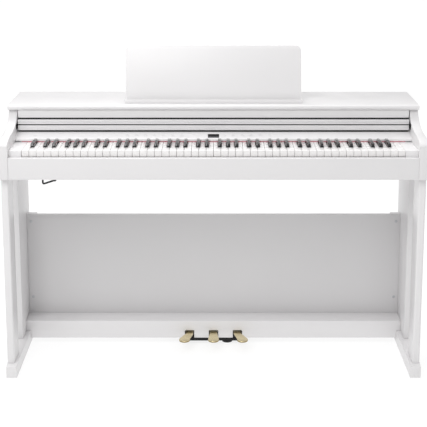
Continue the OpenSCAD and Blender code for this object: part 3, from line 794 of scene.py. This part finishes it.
class PIANO_OT_controls(Build):
    """Finish the control panel, with its buttons, display and legends"""

    bl_idname = "piano.controls"
    bl_label = "Control panel"

    def make(self, scene):
        case = scene.piano_case
        refined("control_panel", case.panel_round)
        refined("function_buttons", case.button_round)
        refined("power_button", case.button_round)
        refined("display_window", 0.3 * MM, 2)
        self.legends(case)

    def legends(self, case):
        """Plain printed marks behind the buttons."""
        point, normal = panel_top()
        tilt = Matrix.Rotation(math.atan2(-normal.y, normal.z), 4, "X")
        low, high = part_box("function_buttons")
        y = (low.y + high.y) / 2
        z = point.z - normal.y * (y - point.y) / normal.z
        made = []
        for number, x in enumerate(button_middles()):
            wide = case.legend_size * (0.8 + 0.2 * (number % 3))
            mark = block((-wide / 2, 7.5 * MM, -0.06 * MM), (wide / 2, 8.5 * MM, 0.06 * MM))
            mark.data.transform(Matrix.Translation((x, y, z)) @ tilt)
            made.append(mark)
        dressed(joined(made, "panel_legends"), "case", "panel_plastic", "legend_ink")


class PIANO_OT_rest(Build):
    """Finish the music rest, its ledge and hinges, and bend its wire stay"""

    bl_idname = "piano.rest"
    bl_label = "Music rest"

    def make(self, scene):
        refined("music_rest", scene.piano_case.board_round)
        refined("rest_ledge", 0.8 * MM)
        refined("rest_hinges", 0.4 * MM, 2, 40.0)
        low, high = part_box("rest_stay")
        r, end = scene.piano_hardware.stay_wire, 14 * MM
        top = (low.y + r, high.z - r)
        foot = (high.y - r, low.z + r)
        out, inner = high.x - r, high.x - end
        route = [
            (-inner, *top), (-out, *top), (-out, *foot), (out, *foot), (out, *top), (inner, *top),
        ]
        stay = wire(route, r, scene.piano_hardware.wire_bend, "rest_stay_piece")
        dressed(stay, "stay", "steel", None, "rest_stay")


class PIANO_OT_pedals(Build):
    """Round the pedals, and make the ribbed foot with its thread"""

    bl_idname = "piano.pedals"
    bl_label = "Pedals"

    def make(self, scene):
        hardware = scene.piano_hardware
        for node in ("pedal_left", "pedal_middle", "pedal_right"):
            refined(node, hardware.pedal_round, 4, 40.0)
        refined("pedal_frame", 0.5 * MM, 2)
        coated("pedal_shaft")
        self.adjuster(hardware)

    def adjuster(self, hardware):
        """A knob with grip ribs, a collar over it and a threaded stem."""
        low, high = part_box("height_adjuster")
        middle = (low + high) / 2
        radius = (high.x - low.x) / 2
        thick, ribs = KNOB_THICK, hardware.knob_ribs
        knob = drum(radius, thick, (0, 0, thick / 2), vertices=2 * ribs)
        step = math.pi / ribs

        def groove(face):
            turn = math.atan2(face.center.y, face.center.x) % (2 * math.pi)
            return abs(face.normal.z) < 0.5 and int(turn / step) % 2 == 0

        pick_faces(knob, groove)
        bpy.ops.mesh.inset(thickness=0.2 * MM, depth=-0.9 * MM, use_individual=True)
        bpy.ops.object.mode_set(mode="OBJECT")
        round_edges(knob, 0.25 * MM, 2, 50.0)
        collar = round_edges(drum(COLLAR_RADIUS, 2 * MM, (0, 0, thick + 0.5 * MM)), 0.6 * MM)
        stem = self.thread(STEM_RADIUS, thick + 2 * MM, high.z - low.z, hardware.thread_pitch)
        foot = joined([knob, collar, stem], "height_adjuster_piece")
        foot.data.transform(Matrix.Translation((middle.x, middle.y, low.z)))
        dressed(foot, BODY_OF["height_adjuster"], "black_plastic", None, "height_adjuster")

    def thread(self, radius, start, end, pitch):
        """A stem with the turns of a screw thread round a core."""
        root, ridge = radius - 0.7 * MM, 0.5 * MM
        core = round_edges(drum(root, end - start, (0, 0, (start + end) / 2)), 0.5 * MM)
        rings = []
        count = int((end - start - 2 * MM) / pitch)
        for n in range(count):
            bpy.ops.object.select_all(action="DESELECT")
            bpy.ops.mesh.primitive_torus_add(
                location=(0, 0, start + 1.5 * MM + n * pitch),
                rotation=(0.06, 0.0, 0.0),
                major_segments=28,
                minor_segments=6,
                major_radius=radius - ridge,
                minor_radius=ridge,
            )
            rings.append(placed(bpy.context.active_object))
        return joined([core] + rings, "stem")


class PIANO_OT_hardware(Build):
    """Make the screws, headphone hook and socket rings, and finish the glides"""

    bl_idname = "piano.hardware"
    bl_label = "Screws, hook and glides"

    def make(self, scene):
        hardware = scene.piano_hardware
        self.screws(hardware)
        self.hook(hardware)
        self.rings(hardware)
        refined("headphone_box", 0.8 * MM)
        refined("glide_pads", 1.0 * MM)

    def screws(self, hardware):
        """Round heads with a cross recess, on shanks."""
        low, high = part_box("assembly_screws")
        head, r = hardware.screw_head, hardware.screw_shank
        turn = (math.pi / 2, 0, 0)
        thick, neck = 1.5 * MM, 1.2 * MM
        cap = drum(head, thick, (0, thick / 2, 0), turn, 40)
        pick_faces(cap, lambda face: face.normal.y < -0.9)
        bpy.ops.mesh.bevel(offset=1.0 * MM, segments=4, clamp_overlap=False)
        bpy.ops.object.mode_set(mode="OBJECT")
        deep, half_long, half_wide = hardware.recess, 2.5 * MM, 0.55 * MM
        for x, z in ((half_long, half_wide), (half_wide, half_long)):
            cut_away(cap, block((-x, -1 * MM, -z), (x, deep, z)))
        bpy.ops.object.shade_smooth_by_angle(angle=math.radians(35))
        reach = high.y - low.y - neck
        shank = drum(r, reach, (0, neck + reach / 2, 0), turn)
        screw = joined([cap, shank], "screw")
        places = [
            Matrix.Translation((x, low.y, z)) @ Matrix.Rotation(0.35 * n, 4, "Y")
            for n, (x, z) in enumerate(
                (x, z)
                for x in (low.x + head, high.x - head)
                for z in (low.z + head, high.z - head)
            )
        ]
        row = copies(screw, places, "assembly_screws_piece")
        dressed(row, "case", "steel", None, "assembly_screws")

    def hook(self, hardware):
        """A bent rod with a flange above and a soft cap on its tip."""
        low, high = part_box("headphone_hook")
        y = (low.y + high.y) / 2
        r, flange = hardware.hook_wire, hardware.hook_flange
        x = low.x + flange
        knee = Vector((x, y, low.z + r))
        tip = knee + Vector((hardware.hook_reach, 0, hardware.hook_rise))
        rod = wire([(x, y, high.z - 2 * MM), knee, tip], r, 6 * MM, "headphone_hook_rod")
        thick = 3 * MM
        plate = round_edges(drum(flange, thick, (x, y, high.z - thick / 2)), 0.8 * MM)
        hook = joined([rod, plate], "headphone_hook_piece")
        dressed(hook, "case", "black_metal", None, "headphone_hook")
        ahead = (tip - knee).normalized()
        lean = math.atan2(ahead.x, ahead.z)
        cap = drum(4 * MM, 8 * MM, tip - ahead * 3.5 * MM, (0, lean, 0), 28)
        round_edges(cap, 2.2 * MM, 4)
        dressed(named(cap, "headphone_hook_cap"), "case", "black_plastic", None, "headphone_hook")

    def rings(self, hardware):
        """Plated rings round the two headphone bores."""
        low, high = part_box("headphone_box")
        z, inset = high.z - hardware.jack_depth, hardware.jack_inset
        outer, bore = 5.6 * MM, 3.25 * MM
        turn = (math.pi / 2, 0, 0)
        made = []
        for x in (low.x + inset, high.x - inset):
            ring = drum(outer, 2 * MM, (x, low.y, z), turn, 40)
            cut_away(ring, drum(bore, 6 * MM, (x, low.y, z), turn, 40))
            made.append(round_edges(ring, 0.4 * MM, 2, 50.0))
        dressed(joined(made, "jack_rings"), "case", "steel")


class PIANO_OT_electronics(Build):
    """Finish the circuit boards and the speakers"""

    bl_idname = "piano.electronics"
    bl_label = "Electronics"

    def make(self, scene):
        coated("control_circuit")
        coated("main_circuit")
        coated("speaker_drivers")
        refined("speaker_grilles", 0.4 * MM, 2, 50.0)


def lamp(name, place, target, size, power):
    """A round area light at place, aimed at target."""
    bpy.ops.object.light_add(type="AREA", location=place)
    light = named(bpy.context.active_object, name)
    light.data.shape = "DISK"
    light.data.size = size
    light.data.energy = power
    aim = Vector(target) - light.location
    light.rotation_euler = aim.to_track_quat("-Z", "Y").to_euler()
    return light


class PIANO_OT_stage(Build):
    """Add the floor, the light, the surroundings and the camera"""

    bl_idname = "piano.stage"
    bl_label = "Stage"

    def make(self, scene):
        stage = scene.piano_stage
        bpy.ops.object.select_all(action="DESELECT")
        floor_width = 400.0
        bpy.ops.mesh.primitive_plane_add(size=floor_width, location=(0, 0, CAD_LOW.z))
        floor = named(placed(bpy.context.active_object), "stage_floor")
        floor.data.materials.append(pale_floor("stage_floor", stage.floor_colour, stage.glow))
        in_front, overhead, case_middle = (-1.0, -2.4, 2.8), (-0.4, 1.1, 3.0), (0, 0.1, 0.9)
        across = 2.0
        key = lamp("key_light", in_front, case_middle, across, stage.key_power)
        top = lamp("top_light", overhead, case_middle, across, stage.top_power)
        scene.world = white_sky("white_room", stage.horizon, stage.zenith, stage.left)
        bpy.ops.object.camera_add(
            location=(0, -stage.distance, stage.height),
            rotation=(math.pi / 2 - stage.pitch, 0, 0),
        )
        camera = bpy.context.active_object
        camera.data.lens = stage.lens
        camera.data.shift_y = stage.shift
        camera.data.clip_end = 1000.0
        scene.camera = camera
        scene.view_settings.view_transform = "Standard"


PARTS = (
    PIANO_OT_boards,
    PIANO_OT_keys,
    PIANO_OT_action,
    PIANO_OT_cover,
    PIANO_OT_controls,
    PIANO_OT_rest,
    PIANO_OT_pedals,
    PIANO_OT_hardware,
    PIANO_OT_electronics,
    PIANO_OT_stage,
)
GROUPS = {
    "piano_case": PianoCase,
    "piano_keys": PianoKeys,
    "piano_hardware": PianoHardware,
    "piano_stage": PianoStage,
}


class PIANO_PT_panel(bpy.types.Panel):
    """Lists the operators in the sidebar"""

    bl_idname = "PIANO_PT_panel"
    bl_label = "Piano"
    bl_space_type = "VIEW_3D"
    bl_region_type = "UI"
    bl_category = "Piano"

    def draw(self, context):
        for part in PARTS:
            self.layout.operator(part.bl_idname)


def register():
    for group in GROUPS.values():
        bpy.utils.register_class(group)
    for name, group in GROUPS.items():
        setattr(bpy.types.Scene, name, PointerProperty(type=group))
    for part in PARTS:
        bpy.utils.register_class(part)
    bpy.utils.register_class(PIANO_PT_panel)


def unregister():
    bpy.utils.unregister_class(PIANO_PT_panel)
    for part in reversed(PARTS):
        bpy.utils.unregister_class(part)
    for name in GROUPS:
        delattr(bpy.types.Scene, name)
    for group in GROUPS.values():
        bpy.utils.unregister_class(group)


def main():
    register()
    for part in PARTS:
        call = bpy.ops
        for word in part.bl_idname.split("."):
            call = getattr(call, word)
        call()


if __name__ == "__main__":
    main()
